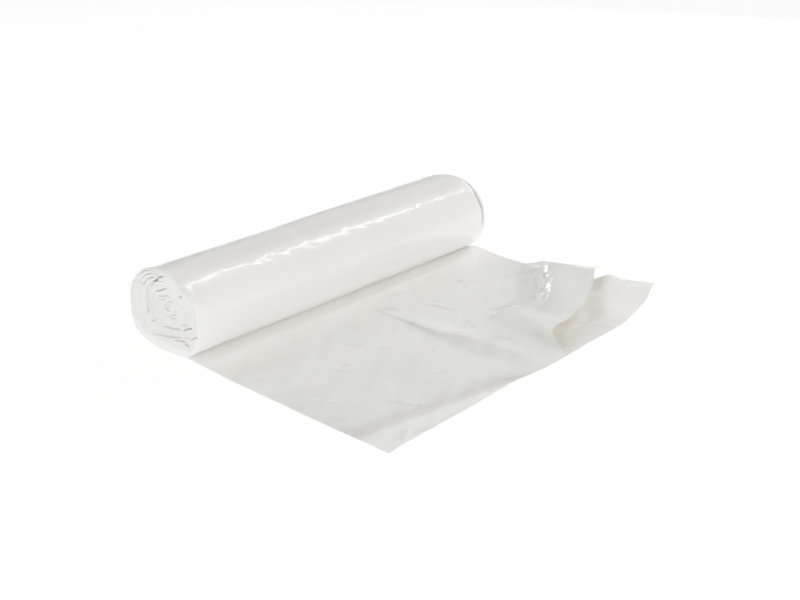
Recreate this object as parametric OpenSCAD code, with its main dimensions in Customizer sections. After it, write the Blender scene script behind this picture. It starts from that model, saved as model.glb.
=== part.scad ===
// A coreless roll of bin bags with its first bag pulled out flat and its mouth part open.
// The film is one continuous web: the bag on the floor runs under the roll and becomes its outer turn.
// Millimetres. X runs from under the roll's axis to the bag's mouth, Y along the roll, Z up.

/* [Roll] */
// Length of the roll, which is also the width of the folded bag
roll_length = 300; // [200:5:500]
// Height of the roll as it lies
roll_height = 60; // [45:1:80]
// How much wider than high the soft roll has settled
roll_sag = 11; // [4:0.5:18]
// Number of turns that can be told apart at the ends, inside the loose outer one
turns = 8; // [6:1:10]
// Radius of the collapsed hole at the middle
core_radius = 2.4; // [2.2:0.1:4]
// Gap between the folded edges of two turns
turn_gap = 0.5; // [0.3:0.05:0.8]
// How deep the gaps between the turns run into each end
edge_depth = 4.5; // [3:0.5:6]
// How much further in the innermost turn ends than the outer one
end_dish = 2.4; // [1:0.1:2.8]

/* [Film] */
// Thickness of one ply of film
film = 0.4; // [0.3:0.05:0.8]
// Air between two plies that lie on each other
ply_air = 0.15; // [0.1:0.05:0.4]

/* [First bag] */
// Distance from the roll's axis to the bag's mouth
bag_reach = 201; // [170:1:300]
// Distance from the roll's axis to where the two plies part
part_x = 45; // [38:1:60]
// Height of the soft pleat that fans out towards the mouth
pleat_height = 4.5; // [1:0.5:6]
// Width over which the pleat's far side falls back
pleat_spread = 60; // [40:5:90]
// Height of the low curl along the near half of the mouth
curl_height = 2; // [0:0.1:3]
// Height to which the far corner of the lower ply is lifted
corner_lift = 13; // [0:0.5:20]
// Size of the lifted corner along the mouth
corner_span = 62; // [40:1:90]

/* [Open mouth] */
// Height of the upper ply over the lower one at the open mouth
gape = 13.5; // [10:0.5:20]
// Height of the upper ply over the lower one at the far side fold
side_gape = 9; // [7:0.5:12]
// How far the near end of the open edge is drawn back from the mouth
near_setback = 20; // [10:1:25]
// How far the far end of the open edge is drawn back beyond that
far_setback = 31; // [15:1:35]
// Height of the crease that the raised ply bends along
crease_height = 5.5; // [4:0.5:7]
// Length over which the ply climbs to the crease
crease_run = 18; // [10:1:24]

/* [Hidden] */

film_colour = [0.92, 0.92, 0.90];
round_facets = 96;

// Winding: every turn is a left and a right half circle joined by flats. The outer turn is one loose bag.
turn_pitch = (roll_height / 2 - 2 * film - core_radius) / turns;
flat_half = roll_sag / 2;
half_width = roll_length / 2;
middle_length = roll_length - 2 * edge_depth;

function turn_bottom(k) = k == 0 ? 0 : 2 * film + (k - 1) * turn_pitch;
function turn_top(k) = roll_height - turn_bottom(k);
function turn_thickness(k) = k == 0 ? 1.4 * film : turn_pitch - turn_gap;

// How far the folded edge of a turn stands out of the roll's middle. Every other turn is a little shorter.
function turn_edge(k) = edge_depth - end_dish * pow(k / turns, 0.7) - (k % 2) * turn_gap;

// Lines that shape the first bag
open_near_y = 0.17 * half_width;
open_ramp = 24;
crease_far_x = bag_reach - near_setback - far_setback - 50;
crease_near_x = bag_reach - near_setback - 34;
pleat_start_x = part_x + 3;
pleat_start_y = -0.035 * half_width;
pleat_drift = 0.17 * half_width;
lift_start_x = 0.6 * bag_reach;

// Grid of the first bag: stations from the roll to the mouth, columns from the near to the far side fold
plain_steps = 2;
crease_steps = [10, 4, 8];
open_steps = 22;
steps = plain_steps + open_steps;
fold_steps = 17;
column_bands = [9, 3, 6, 10];
columns = 28;

function clamp(t) = min(1, max(0, t));
function smooth(t) = let (c = clamp(t)) c * c * (3 - 2 * c);
function blend(a, b, t) = a + (b - a) * t;

// Mouth edges of the two plies, as distances from the roll's axis
function lower_edge_x(y) = bag_reach - corner_lift / 2 * smooth((y - half_width + corner_span) / corner_span);
function upper_edge_x(y) =
    bag_reach
    - near_setback * smooth((y - open_near_y + 6) / open_ramp)
    - far_setback * smooth((y - 0.4 * half_width) / (0.6 * half_width));

// Rise of the lower ply's far corner off the floor
function corner_rise(x, y) =
    corner_lift
    * smooth((x - lift_start_x) / (bag_reach - lift_start_x))
    * smooth((y - half_width + corner_span) / corner_span);

// The pleat: steep on its near side, soft on its far side, wider towards the mouth and pressed flat at it
function pleat_share(x) = clamp((x - pleat_start_x) / (bag_reach - pleat_start_x));
function pleat_y(x) = pleat_start_y + pleat_drift * pow(pleat_share(x), 2);
function pleat_run(x) = 5 + 10 * pleat_share(x);
function pleat_rise(x, y) =
    let (off = y - pleat_y(x))
    pleat_height
    * smooth(1.6 * pleat_share(x))
    * (1 - 0.75 * smooth((x - bag_reach + 22) / 22))
    * (off < 0 ? 1 - smooth(-off / pleat_run(x)) : 1 - smooth(off / pleat_spread));

// The raised ply of the open mouth: a climb to the crease, then a gentler slope to the open edge
function crease_x(y) = blend(crease_far_x, crease_near_x, smooth((half_width - y) / (0.6 * half_width)));
function edge_gape(y) = blend(side_gape, gape, smooth((half_width - y) / (0.3 * half_width)));
function mouth_rise(x, y) =
    let (
        fold = crease_x(y),
        climb = min(crease_height, edge_gape(y)) * smooth((x - fold + crease_run) / crease_run),
        slope = max(0, edge_gape(y) - crease_height) * clamp((x - fold) / (upper_edge_x(y) - fold))
    )
    (climb + slope) * smooth((y - open_near_y) / open_ramp);

// A low curl along the near half of the mouth, nearer the edge towards the middle
function curl_rise(x, y) =
    let (
        along = (half_width + y) / half_width,
        ridge = bag_reach - 22 + 28 * along
    )
    curl_height * smooth(1 - abs(x - ridge) / 14) * smooth(2.4 - 3 * along);

function ply_gap(x, y) = ply_air + pleat_rise(x, y) + mouth_rise(x, y) + curl_rise(x, y);

// Distance from the roll's axis of station i. The upper ply's stations keep to its crease.
function lower_x(i, y) = i <= plain_steps
    ? blend(flat_half, part_x, i / plain_steps)
    : blend(part_x, lower_edge_x(y), (i - plain_steps) / open_steps);
function upper_x(i, y) =
    let (
        k = i - plain_steps,
        before = crease_steps[0],
        at_crease = before + crease_steps[1],
        foot = crease_x(y) - crease_run
    )
    k <= 0 ? blend(flat_half, part_x, i / plain_steps)
    : k <= before ? blend(part_x, foot, k / before)
    : k <= at_crease ? blend(foot, crease_x(y), (k - before) / crease_steps[1])
    : blend(crease_x(y), upper_edge_x(y), (k - at_crease) / crease_steps[2]);

// Place across the web of column j at station i. Columns keep to the pleat and to the open mouth's near end.
function column_y(i, j) =
    let (
        x = upper_x(i, 0),
        lines = [-half_width, pleat_y(x) - pleat_run(x), pleat_y(x), open_near_y + open_ramp, half_width],
        s1 = column_bands[0],
        s2 = s1 + column_bands[1],
        s3 = s2 + column_bands[2],
        starts = [0, s1, s2, s3],
        band = j < s1 ? 0 : j < s2 ? 1 : j < s3 ? 2 : 3
    )
    blend(lines[band], lines[band + 1], (j - starts[band]) / column_bands[band]);

// A point of either ply: up is the height above the ply's underside, inset narrows the inner surfaces
function lower_point(i, j, up, inset) =
    let (
        y = column_y(i, j),
        x = lower_x(i, y)
    )
    [x, y * (1 - inset / half_width), corner_rise(x, y) + up];
function upper_point(i, j, up, inset) =
    let (
        y = column_y(i, j),
        x = upper_x(i, y)
    )
    [x, y * (1 - inset / half_width), corner_rise(x, y) + film + ply_gap(x, y) + up];

// The edge of a turn at one end: square on the loose outer bag, and a blunt ridge on a bundle of folded film
module edge_profile(thickness, length) {
    if (thickness < 2 * film) {
        square([thickness, length]);
    } else {
        polygon([
            [0, 0],
            [thickness, 0],
            [thickness, length - 0.3 * thickness],
            [thickness / 2, length],
            [0, length - 0.3 * thickness]
        ]);
    }
}

module half_ring(radius, thickness, length, side) {
    rotate([-90, 0, 0])
        rotate([0, 0, -90 * side])
            rotate_extrude(angle = 180, $fn = round_facets)
                translate([radius - thickness, 0])
                    edge_profile(thickness, length);
}

module flat_run(thickness, length) {
    translate([-flat_half, 0, 0])
        rotate([90, 0, 90])
            linear_extrude(2 * flat_half)
                rotate(90)
                    mirror([0, 1])
                        edge_profile(thickness, length);
}

module turn(k) {
    thickness = turn_thickness(k);
    length = turn_edge(k);
    left_radius = (turn_top(k) - turn_bottom(k)) / 2;
    right_radius = (turn_top(k) - turn_bottom(k + 1)) / 2;
    translate([-flat_half, 0, turn_bottom(k) + left_radius])
        half_ring(left_radius, thickness, length, -1);
    translate([flat_half, 0, turn_bottom(k + 1) + right_radius])
        half_ring(right_radius, thickness, length, 1);
    translate([0, 0, turn_top(k) - thickness])
        flat_run(thickness, length);
    translate([0, 0, turn_bottom(k)])
        flat_run(thickness, length);
}

module roll_end() {
    translate([0, middle_length / 2, 0])
        for (k = [0 : turns])
            turn(k);
}

// The middle of the roll, where the turns lie tight on each other
module half_disc(radius, side) {
    rotate([-90, 0, 0])
        rotate([0, 0, -90 * side])
            rotate_extrude(angle = 180, $fn = round_facets)
                translate([0, -middle_length / 2])
                    square([radius, middle_length]);
}

module roll_middle() {
    left_radius = roll_height / 2;
    right_radius = (roll_height - turn_bottom(1)) / 2;
    translate([-flat_half, 0, left_radius])
        half_disc(left_radius, -1);
    translate([flat_half, 0, turn_bottom(1) + right_radius])
        half_disc(right_radius, 1);
    translate([-flat_half, -middle_length / 2, 0])
        cube([2 * flat_half, middle_length, roll_height]);
}

// The first bag: two plies joined along both side folds, parted from part_x to the mouth
module first_bag() {
    outer_bottom = [for (i = [0 : steps], j = [0 : columns]) lower_point(i, j, 0, 0)];
    outer_top = [for (i = [0 : steps], j = [0 : columns]) upper_point(i, j, film, 0)];
    inner_bottom = [for (i = [plain_steps : steps], j = [0 : columns]) lower_point(i, j, film, film)];
    inner_top = [for (i = [plain_steps : steps], j = [0 : columns]) upper_point(i, j, 0, film)];

    // Where each grid starts in the list of points
    ob = 0;
    ot = ob + len(outer_bottom);
    ib = ot + len(outer_top);
    it = ib + len(inner_bottom);

    function at(grid, i, j) = grid + i * (columns + 1) + j;
    function quad(a, b, c, d) = [[a, b, c], [a, c, d]];
    function turned(faces) = [for (f = faces) [f[2], f[1], f[0]]];

    // Faces that look down, towards the roll, and towards the far side
    function sheet(g, count) = [
        for (i = [0 : count - 1], j = [0 : columns - 1])
            each quad(at(g, i, j), at(g, i + 1, j), at(g, i + 1, j + 1), at(g, i, j + 1))
    ];
    function cross_strip(g, i, h, k) = [
        for (j = [0 : columns - 1])
            each quad(at(g, i, j), at(g, i, j + 1), at(h, k, j + 1), at(h, k, j))
    ];
    function side_strip(g, h, first, last, shift, j) = [
        for (i = [first : last - 1])
            each quad(at(g, i + shift, j), at(g, i + 1 + shift, j), at(h, i + 1, j), at(h, i, j))
    ];
    function side_fan(g, h, first, last, j) = [
        for (i = [first : last - 1])
            [at(g, first, j), at(h, i + 1, j), at(h, i, j)]
    ];

    far = columns;
    fold_end = plain_steps + fold_steps;
    faces = concat(
        sheet(ob, steps),
        turned(sheet(ot, steps)),
        turned(sheet(ib, open_steps)),
        sheet(it, open_steps),
        cross_strip(ob, 0, ot, 0),
        turned(cross_strip(ib, 0, it, 0)),
        turned(cross_strip(ob, steps, ib, open_steps)),
        turned(cross_strip(it, open_steps, ot, steps)),
        // Near side fold, as long as both plies
        turned(side_strip(ob, ot, 0, steps, 0, 0)),
        side_strip(ib, it, 0, open_steps, 0, 0),
        turned(quad(at(ob, steps, 0), at(ib, open_steps, 0), at(it, open_steps, 0), at(ot, steps, 0))),
        // Far side fold, which ends short of the lower ply's corner
        side_strip(ob, ot, 0, fold_end, 0, far),
        side_fan(ob, ot, fold_end, steps, far),
        turned(side_strip(ib, it, 0, fold_steps, 0, far)),
        turned(side_fan(ib, it, fold_steps, open_steps, far)),
        quad(at(ob, fold_end, far), at(ib, fold_steps, far), at(it, open_steps, far), at(ot, steps, far)),
        side_strip(ob, ib, fold_steps, open_steps, plain_steps, far)
    );
    points = concat(outer_bottom, outer_top, inner_bottom, inner_top);
    polyhedron(points = points, faces = faces, convexity = 8);
}

module bag_roll() {
    color(film_colour) {
        roll_middle();
        roll_end();
        mirror([0, 1, 0])
            roll_end();
        first_bag();
    }
}

bag_roll();
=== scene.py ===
import math

import bmesh
import bpy
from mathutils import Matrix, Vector, noise


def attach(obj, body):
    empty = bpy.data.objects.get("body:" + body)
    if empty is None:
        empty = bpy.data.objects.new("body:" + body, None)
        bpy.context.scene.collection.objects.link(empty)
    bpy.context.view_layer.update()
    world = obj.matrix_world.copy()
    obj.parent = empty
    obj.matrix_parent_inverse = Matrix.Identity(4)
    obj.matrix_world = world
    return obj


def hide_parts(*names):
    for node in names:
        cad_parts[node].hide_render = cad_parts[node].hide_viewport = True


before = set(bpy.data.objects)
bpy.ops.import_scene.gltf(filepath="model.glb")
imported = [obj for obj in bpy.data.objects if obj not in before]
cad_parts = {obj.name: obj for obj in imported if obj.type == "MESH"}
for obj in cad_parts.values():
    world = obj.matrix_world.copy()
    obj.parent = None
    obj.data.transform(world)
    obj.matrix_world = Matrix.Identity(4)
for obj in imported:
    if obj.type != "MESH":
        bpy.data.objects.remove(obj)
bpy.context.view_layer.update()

MM = 0.001

# Roll
ROLL_LENGTH = 300.0
HALF_WIDTH = ROLL_LENGTH / 2
ROLL_RADIUS = 29.76
ROLL_FLAT = 5.6
FLAT_SOFTNESS = 3.5

# Winding: radius, half flat and centre of the section, at its outside, where the loose outer turns
# end, and at the core
OUTER_SHAPE = (ROLL_RADIUS, ROLL_FLAT, 0.0, ROLL_RADIUS)
MIDDLE_SHAPE = (18.8, 5.0, 6.6, 32.2)
INNER_SHAPE = (0.25, 1.3, 3.4, 34.2)
OUTER_TURNS = 5
ALL_TURNS = 10
FIRST_TURN_SHARE = 0.03
START_DEGREES = 270
CORE_X = 5
CORE_Z = 33

# The roll's weight makes the lower half of its section a little squarer: powers under 1 do that
SAG_LEFT = 0.56
SAG_RIGHT = 0.89

# First bag: it runs from BAG_START under the roll to its mouth at BAG_REACH, its plies part at
# PART_X, and FILM is one ply as drawn
BAG_REACH = 201.0
BAG_START = -4.0
PART_X = 40.0
FILM = 0.16

# Its lifted far corner: height, where the lift starts along the bag, and how wide it is
CORNER_LIFT = 13.8
CORNER_START = 118.0
CORNER_SPAN = 62.0

# Camera, fitted to the photograph's perspective
CAMERA_PLACE = (592.3, -580.8, 329.1)
CAMERA_AZIMUTH = 41.67
CAMERA_PITCH = 22.07
CAMERA_LENS = 53.06
CAMERA_SENSOR = 36.0

# The table's half width, its depth under the object, and the place that the soft lights face
TABLE_HALF = 12000.0
TABLE_DROP = 0.1
LIGHT_TARGET = (50, 0, 20)


def clamp(t):
    return min(1.0, max(0.0, t))


def smooth(t):
    t = clamp(t)
    return t * t * (3 - 2 * t)


def blend(a, b, t):
    return a + (b - a) * t


def bell(t):
    return math.exp(-t * t)


def wave(x, y, across, along, seed):
    """Soft noise from -1 to 1, with one wave length across and another along."""
    return noise.noise(Vector((x / across, y / along, seed)))


def along(table, t):
    """A smooth curve through a table's values."""
    if t <= table[0][0]:
        return table[0][1]
    if t >= table[-1][0]:
        return table[-1][1]
    i = max(k for k in range(len(table) - 1) if table[k][0] <= t)
    t0, v0 = table[i]
    t1, v1 = table[i + 1]
    rise = (v1 - v0) / (t1 - t0)
    before = (v0 - table[i - 1][1]) / (t0 - table[i - 1][0]) if i > 0 else rise
    after = (table[i + 2][1] - v1) / (table[i + 2][0] - t1) if i + 2 < len(table) else rise
    slope0 = (before + rise) / 2 if before * rise > 0 else 0.0
    slope1 = (after + rise) / 2 if after * rise > 0 else 0.0
    u = (t - t0) / (t1 - t0)
    span = t1 - t0
    return ((2 * u ** 3 - 3 * u ** 2 + 1) * v0 + (u ** 3 - 2 * u ** 2 + u) * span * slope0
            + (3 * u ** 2 - 2 * u ** 3) * v1 + (u ** 3 - u ** 2) * span * slope1)


def nearest_on(x, z, corners):
    """Distance from a point to a line of straight pieces, and the nearest place's share of the line."""
    lengths = [math.dist(corners[k], corners[k + 1]) for k in range(len(corners) - 1)]
    best, best_share, passed = 1e9, 0.0, 0.0
    for k, length in enumerate(lengths):
        x0, z0 = corners[k]
        dx, dz = corners[k + 1][0] - x0, corners[k + 1][1] - z0
        t = clamp(((x - x0) * dx + (z - z0) * dz) / (length * length))
        d = math.hypot(x - x0 - t * dx, z - z0 - t * dz)
        if d < best:
            best, best_share = d, (passed + t * length) / sum(lengths)
        passed += length
    return best, best_share


def crease_sum(x, z, creases):
    """Depth of all creases at a point: each is corners, half width and depth.

    A crease has thin raised lips, and fades out towards both of its ends.
    """
    total = 0.0
    for corners, width, depth in creases:
        reach = 4 * width
        if not min(c[0] for c in corners) - reach < x < max(c[0] for c in corners) + reach:
            continue
        if not min(c[1] for c in corners) - reach < z < max(c[1] for c in corners) + reach:
            continue
        distance, share = nearest_on(x, z, corners)
        d = distance / width
        fade = smooth(share / 0.3) * smooth((1 - share) / 0.3)
        total += depth * fade * (bell(d) - 0.12 * bell((d - 2.1) / 0.7))
    return total


def make_mesh(name, points, faces):
    """A smooth-shaded object of the given points, in millimetres."""
    mesh = bpy.data.meshes.new(name)
    mesh.from_pydata([[c * MM for c in p] for p in points], [], faces)
    mesh.validate()
    mesh.shade_smooth()
    piece = bpy.data.objects.new(name, mesh)
    bpy.context.collection.objects.link(piece)
    return piece


class Grid:
    """Rows of points that are joined into quads, in a list of points shared by several grids."""

    def __init__(self, points, rows):
        self.start = len(points)
        self.rows = len(rows)
        self.columns = len(rows[0])
        for row in rows:
            points.extend(row)

    def at(self, i, j):
        return self.start + i * self.columns + j

    def faces(self, turned=False):
        made = []
        for i in range(self.rows - 1):
            for j in range(self.columns - 1):
                quad = (self.at(i, j), self.at(i + 1, j), self.at(i + 1, j + 1), self.at(i, j + 1))
                made.append(quad[::-1] if turned else quad)
        return made


# The roll's section

def turn_shape(turn):
    """Radius, half flat and centre of the winding after so many turns, counted from the outside.

    The outermost turn is one loose bag, and the next ones are bundles of turns.
    """
    if turn < OUTER_TURNS:
        first = FIRST_TURN_SHARE * min(turn, 1)
        t = first + (1 - FIRST_TURN_SHARE) * max(0, turn - 1) / (OUTER_TURNS - 1)
        return [blend(a, b, t) for a, b in zip(OUTER_SHAPE, MIDDLE_SHAPE)]
    t = (turn - OUTER_TURNS) / (ALL_TURNS - OUTER_TURNS)
    return [blend(a, b, t) for a, b in zip(MIDDLE_SHAPE, INNER_SHAPE)]


def winding_angle(turn):
    """The web leaves the floor under the axis, climbs the back and comes down the front."""
    return math.radians(START_DEGREES - 360 * turn)


def section_point(turn, layer=0):
    """Place in the section after so many turns, or straight inwards of it on a deeper layer."""
    radius, flat, cx, cz = turn_shape(min(ALL_TURNS, turn + layer))
    angle = winding_angle(turn)
    c, s = math.cos(angle), math.sin(angle)
    if s < 0:
        squareness = SAG_LEFT if c < 0 else SAG_RIGHT
        c = math.copysign(abs(c) ** squareness, c)
        s = -abs(s) ** squareness
    x = cx + radius * c + flat * math.tanh(FLAT_SOFTNESS * c) / math.tanh(FLAT_SOFTNESS)
    return x, cz + radius * s


# Gaps between two turns at both ends: turns from the outside, angle, spread in degrees and width
GAPS = [
    (4, 108, 14, 1.2),
    (4, 150, 22, 0.3),
    (5, 95, 18, 0.3),
    (3, 121, 15, 0.35),
    (2, 123, 15, 0.3),
    (1, 125, 15, 0.25),
]

# Creases where folded film meets at the near end: corners, half width and depth. A depth under
# 0 is a ridge.
NEAR_CREASES = [
    ([(5.0, 58.0), (-3.0, 53.8), (-6.0, 50.6), (-11.0, 46.0)], 0.5, 5.0),
    ([(0.0, 55.5), (-6.0, 50.8), (-11.0, 46.5)], 1.0, 1.4),
    ([(-13.8, 47.0), (-14.8, 36.0), (-15.8, 24.0)], 1.5, 2.2),
    ([(-9.5, 48.0), (-12.2, 40.0), (-12.4, 32.0), (-10.5, 24.0), (-6.0, 16.0)], 0.8, -0.7),
    ([(-9.0, 42.6), (-2.0, 45.2), (3.0, 47.6), (7.3, 50.2)], 0.4, 3.6),
    ([(-5.0, 40.6), (1.0, 42.2), (7.0, 44.2)], 0.5, 0.9),
    ([(-8.0, 38.4), (-3.0, 38.4), (3.5, 40.6)], 0.45, 0.7),
    ([(3.0, 38.2), (11.0, 41.2)], 0.5, 0.8),
    ([(1.0, 37.2), (3.2, 33.4), (7.0, 32.6)], 0.6, 1.2),
    ([(6.5, 30.0), (15.0, 32.6)], 0.45, 1.1),
    ([(1.0, 30.0), (9.0, 28.4), (17.0, 30.2)], 0.5, 0.8),
    ([(9.5, 33.0), (16.5, 36.0)], 0.45, 0.8),
    ([(-3.0, 20.4), (9.0, 21.2), (21.0, 24.4)], 0.55, 1.2),
    ([(20.0, 23.4), (26.0, 25.6), (31.0, 27.8)], 0.42, 7.0),
    ([(19.0, 27.0), (27.0, 29.4)], 0.4, 1.4),
    ([(23.8, 27.5), (24.4, 38.5)], 0.6, -1.0),
    ([(18.3, 46.0), (23.2, 48.0)], 0.5, 2.8),
    ([(10.0, 13.6), (18.0, 15.2), (25.0, 16.8)], 0.45, 3.4),
    ([(20.0, 15.6), (28.5, 13.8)], 1.2, 1.4),
    ([(27.0, 18.4), (35.0, 22.8)], 0.6, 1.6),
    ([(-14.0, 22.5), (-10.0, 22.0), (-7.0, 25.5)], 0.55, 0.8),
    ([(-24.0, 17.0), (-20.0, 12.0), (-12.0, 9.5)], 1.2, 0.25),
    ([(36.2, 41.0), (36.2, 30.0), (34.4, 22.0)], 0.5, -0.9),
]

# The same for the far end
FAR_CREASES = [
    ([(14.0, 52.0), (20.0, 48.0), (25.0, 42.0)], 0.8, 3.0),
    ([(-14.0, 50.0), (-20.0, 44.0), (-23.0, 36.0)], 0.9, 2.0),
    ([(-2.0, 36.0), (4.0, 37.5), (8.0, 34.0)], 0.7, 2.4),
    ([(-8.0, 22.0), (0.0, 18.0), (9.0, 17.5)], 0.7, 1.4),
    ([(16.0, 26.0), (19.0, 33.0), (17.0, 40.0)], 0.7, 1.6),
    ([(-20.0, 16.0), (-12.0, 11.0), (-2.0, 9.0)], 1.2, 0.8),
]


LEAST_GAP = 0.03


def gap_width(boundary, angle):
    """Width of the gap at the outside of a turn, near one whole number of turns."""
    width = LEAST_GAP
    for turn, centre, spread, widest in GAPS:
        if turn == boundary:
            off = (angle - centre + 180) % 360 - 180
            width += widest * bell(off / spread)
    return width


# How far the near end's creases and its folded film are shifted in the section, along X and Z
CREASE_SHIFT = (1.5, 0.9)
FLAP_SHIFT = (1.2, 0.7)


def core_distance(x, z):
    return math.hypot(x - CORE_X, z - CORE_Z)


def end_recess(x, z, side):
    """How far the roll's end stands back from its full length at a place in the section."""
    seed = 5.0 if side < 0 else 45.0
    out = math.hypot(max(0, abs(x) - ROLL_FLAT), z - ROLL_RADIUS) / ROLL_RADIUS
    # The rim is rounded, the foot of the roll is drawn in, and the core is dished
    shoulder = (0.8 if side < 0 else 0.3) * clamp((out - 0.86) / 0.14) ** 2
    foot = (2.4 if side < 0 else 0.9) * smooth((11 - z) / 11)
    dish = 1.3 * smooth((24 - core_distance(x, z)) / 14)
    ripple = 0.55 * wave(x, z, 11, 11, seed) + 0.28 * wave(x, z, 4, 5, seed + 3)
    if side < 0:
        flap = folded_flap(x + FLAP_SHIFT[0], z + FLAP_SHIFT[1])
        creases = crease_sum(x + CREASE_SHIFT[0], z + CREASE_SHIFT[1], NEAR_CREASES) - flap
    else:
        creases = crease_sum(x, z, FAR_CREASES)
    calm = smooth((1 - out) / 0.1)
    return max(0.0, 0.15 + shoulder + foot + dish + (0.3 + ripple) * calm + creases)


# The film folded over the near end: x of its edge at the left over z, and z of its edge at the
# bottom over x
FLAP_EDGE_X = [(14, -23), (22, -20.3), (30, -18.8), (38, -17.3), (45.5, -15.8)]
FLAP_TOP_Z = [(-14, 10.5), (-5, 12.5), (8, 14.5), (20, 17.6), (29, 20.0), (34, 22.0)]


def folded_flap(x, z):
    """The loose outer film folded over the left and the bottom of the near end, with a thin lip."""
    edge = along(FLAP_EDGE_X, z)
    share = smooth((46.5 - z) / 2.0) * smooth((z - 12) / 10)
    left = (1.2 * smooth((edge - x) / 0.8 + 0.5) + 1.4 * bell((x - edge + 1.0) / 1.0)) * share
    top = along(FLAP_TOP_Z, x)
    share = smooth((x + 16) / 10)
    bottom = (0.8 * smooth((top - z) / 1.0 + 0.5) + 0.4 * bell((z - top + 0.6) / 0.6)) * share
    return left + bottom


def rounding(x, z):
    """How deep the creases between turns are: deep at the rims of the upper left, faint elsewhere."""
    angle = math.degrees(math.atan2(z - 30, x + 4))
    rims = bell((angle - 120) / 24) * smooth((core_distance(x, z) - 17) / 4)
    core = smooth((19 - math.hypot(x - 4, z - 34)) / 4)
    broken = smooth(0.5 + 1.6 * wave(x, z, 9, 7, 15.0))
    upper = 0.3 + 0.7 * bell((angle - 110) / 60)
    return 0.03 + 0.22 * core * broken * upper + 1.2 * rims


# Places across a turn's edge, from its outside to its inside
ACROSS = [0.0, 0.02, 0.07, 0.15, 0.25, 0.37, 0.5, 0.63, 0.75, 0.85, 0.93, 0.98, 1.0]

# How deep the walls of a turn's edge reach into the roll, deepest first
WALL_DEPTHS = [10.0, 4.5]
THINNEST_TURN = 0.2


def edge_profile(turn, side):
    """Points across the edge of one turn at one end of the roll, walls included."""
    degrees = math.degrees(winding_angle(turn)) % 360
    boundary = round(turn + degrees / 360 - START_DEGREES / 360)
    outer_gap = gap_width(boundary, degrees) / 2 if turn > 0.5 else 0
    inner_gap = gap_width(boundary + 1, degrees) / 2
    x0, z0 = section_point(turn)
    x1, z1 = section_point(turn, 1)
    thickness = max(THINNEST_TURN, math.hypot(x1 - x0, z1 - z0))
    first = outer_gap / thickness
    last = 1 - inner_gap / thickness
    profile = []
    for q in ACROSS:
        t = blend(first, last, q)
        x, z = blend(x0, x1, t), blend(z0, z1, t)
        round_off = 1 - math.sqrt(max(0.0, 1 - (2 * q - 1) ** 2))
        back = end_recess(x, z, side) + rounding(x, z) * round_off
        profile.append((x, side * (HALF_WIDTH - back), z, back))

    def wall(corner, depths):
        x, _, z, back = corner
        return [(x, side * (HALF_WIDTH - back - depth), z) for depth in depths]

    outer_wall = wall(profile[0], WALL_DEPTHS)
    inner_wall = wall(profile[-1], WALL_DEPTHS[::-1])
    return outer_wall, [p[:3] for p in profile], inner_wall


def skin_offset(y, z, angle):
    """Height of the soft roll's wrinkles over its plain section."""
    degrees = math.degrees(angle)
    path = ROLL_RADIUS * angle
    broad = 0.3 * wave(path, y, 45, 110, 1.0)
    # A low shelf along the top of the near part moves its shine down
    near_part = smooth((-y - 30) / 14)
    shelf = 0.42 * smooth((degrees - 47) / 20) * near_part * (1 - smooth((degrees - 75) / 30))
    # The skin is calmer from y -40 to 90
    quiet = 1 - 0.55 * smooth((y + 40) / 40) * smooth((90 - y) / 40)
    swells = (0.26 * wave(path, y, 12, 16, 2.0) + 0.09 * wave(path, y, 6, 8, 3.0)) * quiet
    # Fine wrinkles gather where the top shines, and the tightest ones near y -88
    crinkle_zone = bell((degrees - 56) / 16) * smooth((135 - abs(y)) / 40)
    crinkles = 0.1 * wave(path, y, 3.4, 5, 4.0) + 0.14 * wave(path + 0.4 * y, y, 5, 12, 6.0)
    knots = 0.36 * wave(path, y, 4.5, 7, 5.0) * bell((y + 88) / 22) * bell((degrees - 57) / 8)
    pulls = 0.05 * wave(path, y, 5, 40, 7.0)
    lively = smooth(z / 6)
    top = blend(-0.75, 0.35, smooth((y + 60) / 90)) * smooth((z - 40) / 15) + 0.2 * smooth(z / 15)
    return (broad + shelf + swells + crinkles * crinkle_zone + knots + pulls) * lively + top


GROOVE_Y = 146.2
GROOVE_DEPTH = 1.8


def far_rim_groove(y, angle):
    """Depth of the pinched wrinkle that runs round the front of the far end."""
    degrees = math.degrees(angle)
    if y < 130 or not -40 < degrees < 85:
        return 0.0
    line = GROOVE_Y + 0.5 * math.sin(degrees / 9) + 0.4 * wave(degrees, 0, 7, 1, 61.0)
    span = smooth((degrees + 25) / 25) * smooth((74 - degrees) / 14)
    strength = span * (0.8 + 0.5 * wave(degrees, 0, 6, 1, 62.0))
    return GROOVE_DEPTH * bell(y - line) * max(0.0, strength)


# Mesh of the roll: steps round the skin, steps along it, and the step along the inner turns
SKIN_STATIONS = 210
SKIN_ROWS = 236
TURN_STEP = 0.82

# The wrinkles fade in over EDGE_FADE at both ends, and faces within END_DEPTH of an end that look
# outwards are film edges, which get a darker copy of the film as painted shade
EDGE_FADE = 6.0
END_DEPTH = 8.0

# The rows lie closer together near the far rim
ROW_PLACES = [(0.0, 0.0), (0.92, 0.965), (1.0, 1.0)]


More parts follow.
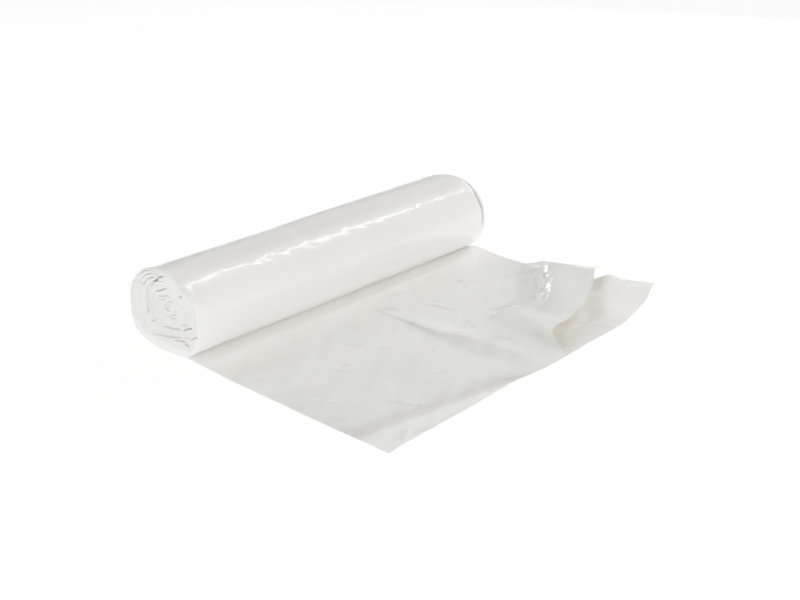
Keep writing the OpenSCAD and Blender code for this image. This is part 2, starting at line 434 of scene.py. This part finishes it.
def make_roll():
    """The wound bags: the skin of the outermost turn, and both ends of the turns inside it."""
    points, faces = [], []
    # The outermost turn: its edge at both ends and its whole outside
    rows = []
    for i in range(SKIN_STATIONS + 1):
        turn = i / SKIN_STATIONS
        angle = winding_angle(turn)
        x0, z0 = section_point(turn)
        _, near, near_wall = edge_profile(turn, -1)
        _, far, far_wall = edge_profile(turn, 1)
        row = near_wall[::-1] + near[::-1]
        y0, y1 = near[0][1], far[0][1]
        nx, nz = math.cos(angle), math.sin(angle)
        for j in range(1, SKIN_ROWS):
            y = blend(y0, y1, along(ROW_PLACES, j / SKIN_ROWS))
            edge = smooth((HALF_WIDTH - 2 - abs(y)) / EDGE_FADE)
            off = skin_offset(y, z0, angle) * edge - far_rim_groove(y, angle)
            row.append((x0 + nx * off, y, max(0.0, z0 + nz * off)))
        row += far + far_wall
        rows.append(row)
    faces += Grid(points, rows).faces(turned=True)
    # The turns inside it, as far as they can be seen at the two ends
    for side in (-1, 1):
        rows = []
        turn = 1.0
        # Steps of about TURN_STEP along the winding, which stops just short of its middle
        while turn < ALL_TURNS - 0.05:
            outer_wall, edge, inner_wall = edge_profile(turn, side)
            rows.append(outer_wall + edge + inner_wall)
            turn += TURN_STEP / (2 * math.pi * (turn_shape(turn)[0] + 2))
        faces += Grid(points, rows).faces(turned=side < 0)
    piece = make_mesh("wound_bags", points, faces)
    for polygon in piece.data.polygons:
        at_an_end = abs(polygon.center.y) > (HALF_WIDTH - END_DEPTH) * MM
        if at_an_end and abs(polygon.normal.y) > 0.5:
            polygon.material_index = 1
    return piece


# The first bag

# The pleat starts at PLEAT_X, and its crest and valley are tables of y over x
PLEAT_X = 52.0
CREST_Y = [
    (52, -2.5), (62, -2.6), (80, -3.4), (100, -5.0), (112, -5.8), (122, -4.6), (134, -1), (150, 3),
    (201, 8),
]
VALLEY_Y = [
    (52, -4.0), (62, -4.2), (80, -5.6), (100, -8.4), (112, -10.6), (122, -12.4), (134, -14),
    (150, -15.5), (201, -14),
]

# The upper ply at the mouth, over y: where it ends, how high it stands over the lower ply there,
# and where it is creased
UPPER_EDGE_X = [
    (14, 201.5), (22, 200.5), (29, 194.5), (36, 181.5), (44, 180), (53, 182), (66, 180.5),
    (80, 177.5), (101, 169), (120, 160), (140, 149.5), (150, 150),
]
UPPER_EDGE_GAP = [
    (22, 0.2), (29, 0.8), (36, 6.8), (44, 10.0), (53, 11.5), (80, 13.7), (101, 14.5), (125, 13.5),
    (140, 12.3), (150, 10.5),
]
CREASE_X = [
    (30, 147), (48, 143), (66, 145), (85, 140), (101, 131), (123, 112), (138, 103), (150, 98),
]

# The near side's shift and the far side's rise, over x
NEAR_EDGE_SHIFT = [
    (-4, 5.4), (12, 4.9), (22, 3.9), (34, 3.3), (60, 1.8), (100, 0.7), (160, -0.5), (201, -1.0),
]
FAR_SIDE_RISE = [(10, 0), (29, 2.6), (45, 1.0), (58, 0)]

# The curl's climb and the ridge's fall, as shares of the way and of the height
CURL_CLIMB = [(0, 0), (0.15, 0.05), (0.8, 0.6), (0.95, 0.97), (1, 1)]
RIDGE_FALL = [(0, 0), (0.15, 0.06), (0.85, 0.94), (1, 1)]

# Small folds of the sheet: corners, half width and height
SHEET_CREASES = [
    ([(102.0, 141.0), (109.0, 127.0)], 1.5, 0.9),
    ([(113.0, 129.0), (121.0, 114.0)], 1.4, 0.8),
    ([(122.0, 120.0), (130.0, 104.0)], 1.5, 1.1),
    ([(128.0, 108.0), (137.5, 89.0)], 1.6, 1.1),
    ([(134.0, 94.0), (138.5, 77.0)], 1.4, 0.9),
    ([(117.0, 109.0), (127.0, 96.0)], 1.2, 0.6),
    ([(54.0, 1.0), (61.0, 6.0), (69.0, 11.0)], 0.9, 1.5),
    ([(53.0, 4.2), (60.0, 9.0), (66.0, 12.6)], 0.9, -0.8),
    ([(122.0, -21.5), (130.0, -26.0), (136.5, -32.6)], 0.9, 0.6),
    ([(119.0, -16.0), (127.0, -21.0)], 0.8, 0.4),
    ([(118.0, -138.5), (138.0, -123.5)], 1.6, 1.0),
    ([(155.0, -103.2), (176.0, -94.8)], 1.5, 0.9),
    ([(190.5, -121.0), (202.0, -142.0)], 1.3, 1.3),
    ([(160.0, -18.0), (160.5, -42.0)], 1.2, 0.7),
    ([(147.0, 16.8), (163.0, 23.2)], 1.8, 1.0),
    ([(128.0, 47.0), (139.0, 63.0)], 1.5, 1.2),
    ([(56.0, 75.0), (78.0, 101.0)], 2.2, 0.6),
    ([(74.0, -62.0), (96.0, -50.0)], 1.6, 0.5),
    ([(92.0, -98.0), (116.0, -86.0)], 1.5, 0.5),
    ([(31.0, -123.0), (49.0, -95.0)], 1.8, 0.6),
    ([(66.0, 30.8), (100.0, 39.2)], 2.2, 0.6),
    ([(98.0, -54.0), (110.0, -32.0)], 1.6, 0.5),
    ([(42.0, 14.0), (54.0, 48.0)], 1.8, 0.5),
    ([(82.0, 122.0), (94.0, 100.0)], 1.8, 0.6),
    ([(108.0, 32.0), (132.0, 20.0)], 1.5, 0.5),
    ([(136.0, -70.0), (142.0, -88.0)], 1.5, -0.5),
    ([(70.0, -130.0), (84.0, -112.0)], 1.8, 0.5),
    ([(60.0, -20.0), (72.0, -44.0)], 1.6, 0.45),
    ([(100.0, 60.0), (112.0, 84.0)], 1.8, 0.45),
    ([(150.0, -60.0), (158.0, -44.0)], 1.4, 0.45),
]


def near_edge(x):
    """Y of the bag's near side, which runs a little askew."""
    return -HALF_WIDTH + along(NEAR_EDGE_SHIFT, x) + 0.3 * wave(x, 0, 25, 1, 51.0)


def lower_edge_x(y):
    """X of the lower ply's edge at the mouth: its lifted far corner is drawn back."""
    corner = CORNER_LIFT / 2 * smooth((y - 122) / 28)
    return BAG_REACH + 0.5 - corner + 0.3 * wave(0, y, 1, 9, 52.0)


def upper_edge_x(y):
    """X of the upper ply's edge at the mouth."""
    return along(UPPER_EDGE_X, y) + 0.2 + 0.3 * wave(0, y, 1, 7, 53.0)


def corner_rise(x, y):
    """The far corner of the mouth is lifted off the table."""
    towards_mouth = smooth((x - CORNER_START) / (BAG_REACH - CORNER_START))
    return CORNER_LIFT * towards_mouth * smooth((y - HALF_WIDTH + CORNER_SPAN) / CORNER_SPAN)


def pleat_rise(x, y):
    """The pleat that fans out to the mouth: steep towards its valley, gentle on its other side."""
    crest, valley = along(CREST_Y, x), along(VALLEY_Y, x)
    growth = blend(0.7, 3.1, smooth((x - 60) / 60)) * smooth((x - PLEAT_X) / 8)
    settling = 1 - 0.72 * smooth((x - 138) / 55)
    height = growth * settling * (1 + 0.2 * wave(x, 0, 14, 1, 26.0))
    if y < crest:
        side = smooth((y - valley) / (crest - valley))
    else:
        side = (1 - clamp((y - crest) / (12 + 0.12 * (x - PLEAT_X)))) ** 1.5
    return height * side


def mouth_rise(x, y):
    """How far the drawn back upper ply stands over the lower one: a climb, a creased ridge, a slope."""
    fold = along(CREASE_X, y)
    edge = along(UPPER_EDGE_X, y)
    gap = along(UPPER_EDGE_GAP, y)
    top = min(6.5, gap)
    share = clamp((x - fold) / (edge - fold))
    open_y = 38 - 9 * share
    flank = smooth((y - open_y + 3) / (18 - 10 * share))
    run = blend(30, 24, smooth((y - 120) / 30))
    climb = top * smooth((x - fold + run) / run)
    slope = (gap - top) * share ** 0.8
    d = x - fold
    side = smooth((d + 12) / 12) if d < 0 else 1 - along(RIDGE_FALL, d / 4.6)
    bright = bell((y - 133) / 9) + bell((y - 95) / 22) + 0.6 * bell((y - 55) / 6)
    ridge = 1.9 * side * min(1.0, bright) * (0.8 + 0.7 * wave(x, y, 30, 6, 12.0))
    crinkle = 0.6 * wave(x, y, 3.4, 5, 11.0) * bell((d - 2) / 5) * smooth((149 - y) / 8)
    return (climb + slope + ridge * smooth((154 - y) / 10) + crinkle) * flank


def curl_crest_x(y):
    return 181.5 + 0.183 * (y + 142)


def curl_rise(x, y):
    """The low curl along the near half of the mouth: a slow climb, a crest and a short fall."""
    past_crest = x - curl_crest_x(y)
    if past_crest < 0:
        rise = along(CURL_CLIMB, (past_crest + 18) / 18)
    else:
        rise = 1 - 0.5 * smooth(past_crest / 9)
    mottle = 0.32 * wave(x, y, 3.6, 5, 24.0) * smooth((past_crest + 1) / 3)
    return (2.7 * rise + mottle) * smooth((10 - y) / 46) * smooth((y + 153) / 16)


def curl_follow(x):
    """How much of the curl the lower ply shares: all but a sliver at the mouth."""
    return 0.88 * smooth((x - 150) / 25)


def film_waves(x, y):
    """The slight waves and short dashes of film that was wound tight."""
    loose = smooth((x - 16) / 20)
    broad = 0.35 * (1 + wave(x, y, 42, 60, 21.0))
    patches = smooth(0.4 + 1.8 * wave(x, y, 30, 40, 23.0))
    dashes = 0.14 * wave(x + 0.5 * y, y, 8, 22, 22.0) * patches
    fine = 0.035 * wave(x, y, 4, 6, 25.0)
    return (broad + dashes + fine) * loose + near_roll_rise(x)


def near_roll_rise(x):
    """The sheet swells a little next to the roll, and passes close under it."""
    across = clamp((x - ROLL_FLAT) / ROLL_RADIUS) ** (1 / SAG_RIGHT)
    under_roll = ROLL_RADIUS * (1 - math.sqrt(1 - across * across) ** SAG_RIGHT)
    swell = 0.5 * smooth((46 - x) / 26)
    return min(swell, max(0.0, under_roll - 0.5))


def far_side_rise(x, y):
    """Half of the far side's rise next to the roll: each ply takes one half."""
    return along(FAR_SIDE_RISE, x) * smooth((y - 95) / 55) * 0.5


def lower_height(x, y):
    lift = 0.35 * (1 + wave(x, y, 25, 40, 31.0)) * smooth((x - 150) / 30) * smooth((y - 20) / 30)
    side = far_side_rise(x, y)
    bulge = 1.3 * bell((x - 128) / 22) * smooth((y - 110) / 40)
    curl = curl_rise(x, y) * curl_follow(x)
    return corner_rise(x, y) + lift + side + bulge + edge_buckle(x, y) + curl


def edge_buckle(x, y):
    """The lower ply's side fold buckles upwards beyond the drawn back ply."""
    return 4.8 * bell((x - 155) / 11) * smooth((y - 126) / 22)


# Height of the air between the plies where they lie flat, the least that a fold leaves, and the
# air under the bag
FLAT_AIR = 0.1
LEAST_AIR = 0.05
TABLE_GAP = 0.02


def upper_gap(x, y):
    """Height of the air between the two plies."""
    side = far_side_rise(x, y)
    folds = crease_sum(x, y, SHEET_CREASES)
    curl = curl_rise(x, y) * (1 - curl_follow(x))
    closed = 1 - 0.7 * smooth((x - 182) / 14) * smooth((6 - y) / 20)
    waves = film_waves(x, y) * closed
    lifted = curl + side + folds - edge_buckle(x, y)
    return max(LEAST_AIR, FLAT_AIR + waves + pleat_rise(x, y) + mouth_rise(x, y) + lifted)


# Mesh of the first bag: steps from the roll to the mouth, those of them before its plies part,
# steps across it, and the step up to which its far side is folded shut
STATIONS = 118
PLAIN_STATIONS = 16
COLUMNS = 196
FOLD_STATIONS = 97

# The mesh is denser across the pleat
COLUMN_PLACES = [(0.0, -150.0), (0.4, -20.0), (0.6, 14.0), (1.0, 150.0)]


def station_x(i, edge, y):
    """Place of a step between the roll and the mouth's edge: steps lie closest at the crease."""
    if i <= PLAIN_STATIONS:
        return blend(BAG_START, PART_X, i / PLAIN_STATIONS)
    fold = along(CREASE_X, y)
    places = [(0.0, PART_X), (0.42, fold - 8), (0.74, min(fold + 6, edge - 8)), (1.0, edge)]
    return along(places, (i - PLAIN_STATIONS) / (STATIONS - PLAIN_STATIONS))


def column_y(j, x, inset):
    """Place of a step across the bag, with both its sides moved in by inset."""
    y = along(COLUMN_PLACES, j / COLUMNS)
    if y < 0:
        y *= (near_edge(x) + inset) / -HALF_WIDTH
    else:
        y *= (HALF_WIDTH - inset) / HALF_WIDTH
    return y


def ply_rows(edge_x, height, first, inset):
    """One face of a ply, from a first step up to its edge at the mouth."""
    rows = []
    for i in range(first, STATIONS + 1):
        row = []
        for j in range(COLUMNS + 1):
            y_full = along(COLUMN_PLACES, j / COLUMNS)
            x = station_x(i, edge_x(y_full), y_full)
            row.append((x, column_y(j, x, inset), height(x, y_full)))
        rows.append(row)
    return rows


def make_first_bag():
    """The pulled-out bag: two plies, closed at both side folds and at the roll, open at the mouth."""
    points, faces = [], []

    def under(x, y):
        return lower_height(x, y) + TABLE_GAP

    def floor_of_mouth(x, y):
        return under(x, y) + FILM

    def roof_of_mouth(x, y):
        return floor_of_mouth(x, y) + upper_gap(x, y)

    def top(x, y):
        return roof_of_mouth(x, y) + FILM

    outer_bottom = Grid(points, ply_rows(lower_edge_x, under, 0, 0))
    outer_top = Grid(points, ply_rows(upper_edge_x, top, 0, 0))
    inner_bottom = Grid(points, ply_rows(lower_edge_x, floor_of_mouth, PLAIN_STATIONS, FILM))
    inner_top = Grid(points, ply_rows(upper_edge_x, roof_of_mouth, PLAIN_STATIONS, FILM))
    faces += outer_bottom.faces(turned=True) + outer_top.faces()
    inner_start = len(faces)
    faces += inner_bottom.faces() + inner_top.faces(turned=True)
    inner_stop = len(faces)

    last = STATIONS
    inner_last = STATIONS - PLAIN_STATIONS

    def bridge(first, i, second, k, j):
        """A face from row i of one grid to row k of another, at column j."""
        faces.append((first.at(i, j), first.at(i, j + 1), second.at(k, j + 1), second.at(k, j)))

    # The start under the roll, the closed end of the inside, and the plies' edges at the mouth
    for j in range(COLUMNS):
        faces.append((outer_bottom.at(0, j), outer_top.at(0, j),
                      outer_top.at(0, j + 1), outer_bottom.at(0, j + 1)))
        bridge(inner_bottom, 0, inner_top, 0, j)
        bridge(outer_bottom, last, inner_bottom, inner_last, j)
        bridge(outer_top, last, inner_top, inner_last, j)

    def side(a, b, j, count, total):
        """A side fold joins two grids row by row. Past count, the second one's rows fan out."""
        for i in range(count):
            faces.append((a.at(i, j), a.at(i + 1, j), b.at(i + 1, j), b.at(i, j)))
        for i in range(count, total):
            faces.append((a.at(count, j), b.at(i + 1, j), b.at(i, j)))

    far_fold = FOLD_STATIONS
    side(outer_bottom, outer_top, 0, last, last)
    side(inner_bottom, inner_top, 0, inner_last, inner_last)
    side(outer_bottom, outer_top, COLUMNS, far_fold, last)
    side(inner_bottom, inner_top, COLUMNS, far_fold - PLAIN_STATIONS, inner_last)
    for j, stop in ((0, last), (COLUMNS, far_fold)):
        faces.append((outer_bottom.at(stop, j), inner_bottom.at(stop - PLAIN_STATIONS, j),
                      inner_top.at(inner_last, j), outer_top.at(last, j)))
    for i in range(far_fold, last):
        k = i - PLAIN_STATIONS
        faces.append((outer_bottom.at(i, COLUMNS), outer_bottom.at(i + 1, COLUMNS),
                      inner_bottom.at(k + 1, COLUMNS), inner_bottom.at(k, COLUMNS)))
    piece = make_mesh("first_bag", points, faces)
    # Each point carries painted light and shade for the film's colour, mixed with random tone
    painted_tone_values = [sheet_painted_light_and_shade(vertex.co.x / MM, vertex.co.y / MM) for vertex in piece.data.vertices]
    for polygon in piece.data.polygons[inner_start:inner_stop]:
        polygon.material_index = 1
        for index in polygon.vertices:
            place = piece.data.vertices[index].co
            painted_tone_values[index] = inside_painted_light_and_shade(place.x / MM, place.y / MM)
    piece.data.attributes.new("painted_light_shade_and_tone", "FLOAT", "POINT").data.foreach_set("value", painted_tone_values)
    turn_faces_out(piece)
    return piece


def sheet_painted_light_and_shade(x, y):
    """Painted light (above 0) and painted shade (below 0) for the film's colour, with random streaks of
    tone.
    """
    past_crest = x - curl_crest_x(y)
    near_mouth = smooth((-y - 8) / 25)
    # Painted shade: a grey band before the curl's crest, where its climb faces away from the light
    painted_shade_before_crest = 0.95 * bell((past_crest + 8) / 8.5) * near_mouth
    # Painted light: the film past the curl's crest is paler, in speckles
    painted_light_past_crest = smooth(past_crest / 2) * near_mouth * (0.9 + 1.1 * wave(x, y, 3.6, 5, 71.0))
    # Painted shade at the pleat's foot; painted light on its top, on the flank and on the drawn back
    # ply
    pleat_foot = 0.35 * bell(math.hypot((x - 133) / 22, (y + 3) / 10))
    pleat_top = 0.4 * bell(math.hypot((x - 102) / 30, (y - 9) / 7))
    flank = 1.2 * bell(math.hypot((x - 164) / 26, (y - 46) / 11))
    drawn_back = 0.6 * smooth((x - along(CREASE_X, y) - 8) / 10) * smooth((y - 60) / 20)
    streaks = 0.35 * wave(x + 0.6 * y, y, 9, 45, 72.0) + 0.25 * wave(x, y, 5, 12, 73.0)
    pale = 0.12 + painted_light_past_crest + pleat_top + flank + drawn_back + streaks
    return clamp((pale - painted_shade_before_crest - pleat_foot + 1) / 2) * 2 - 1


def inside_painted_light_and_shade(x, y):
    """The same inside the bag: painted shade under the edge of the drawn back ply and on the lower
    ply's near part, painted light towards its far corner, and random tone.
    """
    edge = along(UPPER_EDGE_X, y)
    # Painted shade under the drawn back ply's edge and on the near part of the lower ply
    under = 0.8 * bell((x - edge - 3) / 10) + 1.3 * smooth((x - edge) / 6) * smooth((110 - y) / 35)
    pale = 0.5 + 0.3 * smooth((y - 95) / 25)
    return clamp((pale - under + 0.4 * wave(x, y, 12, 9, 74.0) + 1) / 2) * 2 - 1


SHARP_DEGREES = 50


def turn_faces_out(piece):
    """Turns every face of a closed piece outwards, and marks its sharp edges."""
    bm = bmesh.new()
    bm.from_mesh(piece.data)
    bmesh.ops.recalc_face_normals(bm, faces=bm.faces)
    bm.to_mesh(piece.data)
    bm.free()
    piece.data.set_sharp_from_angle(angle=math.radians(SHARP_DEGREES))


# Materials

# The darker and the lighter tint of each kind of film
WOUND_TINTS = ((0.705, 0.705, 0.64), (0.745, 0.745, 0.685))
# The roll's end faces take a darker copy of the same film: painted shade
END_FACE_SHADE_TINTS = ((0.54, 0.545, 0.5), (0.6, 0.6, 0.555))
SHEET_TINTS = ((0.815, 0.84, 0.76), (0.9, 0.915, 0.84))
INSIDE_TINTS = ((0.84, 0.84, 0.8), (0.96, 0.96, 0.925))

# What multiplies the tint as painted shade: where the mesh carries it, and deep inside the bag
WHITE = (1, 1, 1)
PAINTED_SHADE_TINT = (0.62, 0.605, 0.57)
PAINTED_DEEP_SHADE = (0.84, 0.825, 0.8)
DEEP_REACH = 30.0

# Painted light: the sheet's paler tint next to the roll, and from where to where it fades out
NEAR_ROLL_PAINTED_LIGHT = (1.0, 0.985, 0.9)
NEAR_ROLL_X = (22, 62)


class FilmNodes:
    """The nodes of one material, with short ways to add the kinds that film needs."""

    def __init__(self, material):
        material.use_nodes = True
        self.nodes = material.node_tree.nodes
        self.links = material.node_tree.links
        self.shader = self.nodes["Principled BSDF"]
        self.place = self.nodes.new("ShaderNodeTexCoord").outputs["Object"]

    def set_shader(self, values):
        for socket, value in values.items():
            self.shader.inputs[socket].default_value = value

    def to_shader(self, source, socket):
        self.links.new(source, self.shader.inputs[socket])

    def stretched_noise(self, scale, size, detail, title):
        mapping = self.nodes.new("ShaderNodeMapping")
        mapping.inputs["Scale"].default_value = scale
        texture = self.nodes.new("ShaderNodeTexNoise")
        texture.label = title
        texture.inputs["Scale"].default_value = size
        texture.inputs["Detail"].default_value = detail
        self.links.new(self.place, mapping.inputs["Vector"])
        self.links.new(mapping.outputs["Vector"], texture.inputs["Vector"])
        return texture.outputs["Fac"]

    def colour_ramp(self, source, places, colours):
        ramp = self.nodes.new("ShaderNodeValToRGB")
        for element, position, colour in zip(ramp.color_ramp.elements, places, colours):
            element.position = position
            element.color = (*colour, 1)
        self.links.new(source, ramp.inputs["Fac"])
        return ramp.outputs["Color"]

    def map_range(self, source, lowest, highest, low_result=0.0, high_result=1.0):
        node = self.nodes.new("ShaderNodeMapRange")
        node.inputs["From Min"].default_value = lowest
        node.inputs["From Max"].default_value = highest
        node.inputs["To Min"].default_value = low_result
        node.inputs["To Max"].default_value = high_result
        self.links.new(source, node.inputs["Value"])
        return node.outputs["Result"]

    def multiplied(self, first_colour, second_colour):
        node = self.nodes.new("ShaderNodeMix")
        node.data_type = "RGBA"
        node.blend_type = "MULTIPLY"
        node.inputs["Factor"].default_value = 1.0
        self.links.new(first_colour, node.inputs["A"])
        self.links.new(second_colour, node.inputs["B"])
        return node.outputs["Result"]

    def mixed_towards(self, colour, goal, share):
        node = self.nodes.new("ShaderNodeMix")
        node.data_type = "RGBA"
        node.inputs["B"].default_value = (*goal, 1)
        self.links.new(share, node.inputs["Factor"])
        self.links.new(colour, node.inputs["A"])
        return node.outputs["Result"]

    def bump(self, source, strength, height, normal=None):
        node = self.nodes.new("ShaderNodeBump")
        node.inputs["Strength"].default_value = strength
        node.inputs["Distance"].default_value = height * MM
        self.links.new(source, node.inputs["Height"])
        if normal is not None:
            self.links.new(normal, node.inputs["Normal"])
        return node.outputs["Normal"]


def with_painted_light_and_shade(film, colour):
    """Painted light and shade from the mesh's values: the colour is darkened where shade is painted,
    and kept where light is painted.
    """
    painted_light_shade_and_tone = film.nodes.new("ShaderNodeAttribute")
    painted_light_shade_and_tone.attribute_name = "painted_light_shade_and_tone"
    paleness = film.map_range(painted_light_shade_and_tone.outputs["Fac"], -1.0, 1.0)
    shade = film.colour_ramp(paleness, (0.0, 1.0), (PAINTED_SHADE_TINT, WHITE))
    return film.multiplied(colour, shade)


def painted_light_near_roll(film, colour):
    """Painted light: next to the roll the film's colour is paler, standing in for light that comes to
    it through and off the roll.
    """
    parts = film.nodes.new("ShaderNodeSeparateXYZ")
    film.links.new(film.place, parts.inputs["Vector"])
    full, gone = NEAR_ROLL_X
    nearness = film.map_range(parts.outputs["X"], gone * MM, full * MM)
    return film.mixed_towards(colour, NEAR_ROLL_PAINTED_LIGHT, nearness)


def painted_shade_deep_inside(film, colour):
    """Painted shade: the colour is darker and browner where ambient occlusion finds a place deep inside
    the bag.
    """
    depth = film.nodes.new("ShaderNodeAmbientOcclusion")
    depth.inputs["Distance"].default_value = DEEP_REACH * MM
    shade = film.colour_ramp(depth.outputs["AO"], (0.25, 0.9), (PAINTED_DEEP_SHADE, WHITE))
    return film.multiplied(colour, shade)


def film_material(name, depth, gloss, tints, changes=()):
    """Milky, glossy film.

    depth is how far light wanders inside it, in millimetres, gloss is the roughness of its coat,
    tints are its two cloudy colours, and changes are functions that change the colour by place.
    """
    mat = bpy.data.materials.new(name)
    film = FilmNodes(mat)
    film.set_shader({
        "Coat Weight": 0.6,
        "Coat Roughness": gloss,
        "Coat IOR": 1.5,
        "IOR": 1.5,
        "Subsurface Weight": 1.0,
        "Subsurface Radius": (1.0, 0.99, 0.94),
        "Subsurface Scale": depth * MM,
    })

    tint = film.stretched_noise((1.0, 0.6, 1.0), 26.0, 6.0, "cloudy tint")
    colour = film.colour_ramp(tint, (0.3, 0.7), tints)
    for change in changes:
        colour = change(film, colour)
    film.to_shader(colour, "Base Color")

    rubbed = film.stretched_noise((1.0, 0.5, 1.0), 60.0, 2.0, "rubbed and bright patches")
    film.to_shader(film.map_range(rubbed, 0.3, 0.7, 0.26, 0.42), "Roughness")

    pulls = film.stretched_noise((1.0, 0.25, 1.0), 90.0, 3.0, "soft pulls along the roll")
    crinkles = film.stretched_noise((1.0, 0.6, 1.0), 380.0, 2.0, "fine crinkles")
    pulled = film.bump(pulls, 0.45, 0.6)
    film.to_shader(film.bump(crinkles, 0.35, 0.18, pulled), "Normal")
    return mat


def floor_material():
    mat = bpy.data.materials.new("white_table")
    mat.use_nodes = True
    shader = mat.node_tree.nodes["Principled BSDF"]
    shader.inputs["Base Color"].default_value = (0.88, 0.88, 0.86, 1)
    shader.inputs["Roughness"].default_value = 0.8
    shader.inputs["Emission Color"].default_value = (*WHITE, 1)
    shader.inputs["Emission Strength"].default_value = 2.2
    return mat


# Camera, floor and lights

def make_camera():
    """The camera at the photograph's viewing angle."""
    data = bpy.data.cameras.new("camera")
    data.sensor_width = CAMERA_SENSOR
    data.lens = CAMERA_LENS
    camera = bpy.data.objects.new("camera", data)
    bpy.context.collection.objects.link(camera)
    azimuth, pitch = math.radians(CAMERA_AZIMUTH), math.radians(CAMERA_PITCH)
    level = math.cos(pitch)
    forward = Vector((-math.sin(azimuth) * level, math.cos(azimuth) * level, -math.sin(pitch)))
    camera.location = [c * MM for c in CAMERA_PLACE]
    camera.rotation_mode = "QUATERNION"
    camera.rotation_quaternion = forward.to_track_quat("-Z", "Y")
    bpy.context.scene.camera = camera


def make_floor():
    """A plain white table that reaches far past the view."""
    half = TABLE_HALF
    corners = [(-half, -half), (half, -half), (half, half), (-half, half)]
    floor = make_mesh("table", [(x, y, -TABLE_DROP) for x, y in corners], [(0, 1, 2, 3)])
    floor.data.materials.append(floor_material())


def area_light(name, place, target, size, power, colour):
    """A rectangular lamp: places and size in millimetres, power in watts."""
    data = bpy.data.lights.new(name, "AREA")
    data.shape = "RECTANGLE"
    data.size, data.size_y = [c * MM for c in size]
    data.energy = power
    data.color = colour
    lamp = bpy.data.objects.new(name, data)
    bpy.context.collection.objects.link(lamp)
    lamp.location = [c * MM for c in place]
    lamp.rotation_mode = "QUATERNION"
    lamp.rotation_quaternion = (Vector(target) - Vector(place)).to_track_quat("-Z", "Y")


def softbox(name, azimuth, elevation, distance, size, power, colour):
    """A soft light aimed at the object: azimuth from +X towards +Y and elevation, in degrees."""
    a, e = math.radians(azimuth), math.radians(elevation)
    away = (math.cos(a) * math.cos(e), math.sin(a) * math.cos(e), math.sin(e))
    place = [t + distance * c for t, c in zip(LIGHT_TARGET, away)]
    area_light(name, place, LIGHT_TARGET, size, power, colour)


def make_lights():
    """Soft lights round the object, and bright fields behind it that the film mirrors."""
    world = bpy.data.worlds.new("studio")
    bpy.context.scene.world = world
    world.use_nodes = True
    background = world.node_tree.nodes["Background"]
    background.inputs["Color"].default_value = (*WHITE, 1)
    background.inputs["Strength"].default_value = 0.15
    softbox("front_softbox", 0, 19, 1600, (1600, 900), 25.5, (1.0, 0.977, 0.95))
    softbox("camera_side_fill", -55, 30, 1700, (1600, 1000), 8, (1.0, 0.99, 0.97))
    softbox("back_softbox", 180, 42, 1800, (2200, 1300), 11.5, (0.98, 1.0, 0.99))
    softbox("far_side_lamp", 103, 14, 1500, (330, 260), 13, WHITE)
    area_light("window", (1090, 1230, 1000), (1090, 0, 1000), (1800, 2000), 3, WHITE)
    area_light("strip_light", (190, 1215, 1560), (190, 0, 1560), (150, 1000), 24, WHITE)
    area_light("backdrop", (-900, 1230, 690), (-900, 0, 690), (1800, 480), 2.2, WHITE)
    area_light("low_backdrop", (-900, 1230, 220), (-900, 0, 220), (1800, 440), 0.4, WHITE)


make_camera()
make_floor()
make_lights()
roll = make_roll()
roll.data.materials.append(film_material("wound_film", 1.5, 0.09, WOUND_TINTS))
# The end faces get a darker copy of the same film: painted shade
roll.data.materials.append(film_material("film_ends_painted_shade", 1.0, 0.16, END_FACE_SHADE_TINTS))
bag = make_first_bag()
outside_changes = (with_painted_light_and_shade, painted_light_near_roll)
inside_changes = (with_painted_light_and_shade, painted_shade_deep_inside)
bag.data.materials.append(film_material("loose_film", 0.13, 0.1, SHEET_TINTS, outside_changes))
bag.data.materials.append(film_material("bag_inside", 0.22, 0.12, INSIDE_TINTS, inside_changes))
for piece in (roll, bag):
    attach(piece, "root")
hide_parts("bag_roll")
bpy.context.scene.view_settings.view_transform = "AgX"
bpy.context.scene.view_settings.look = "AgX - Very High Contrast"
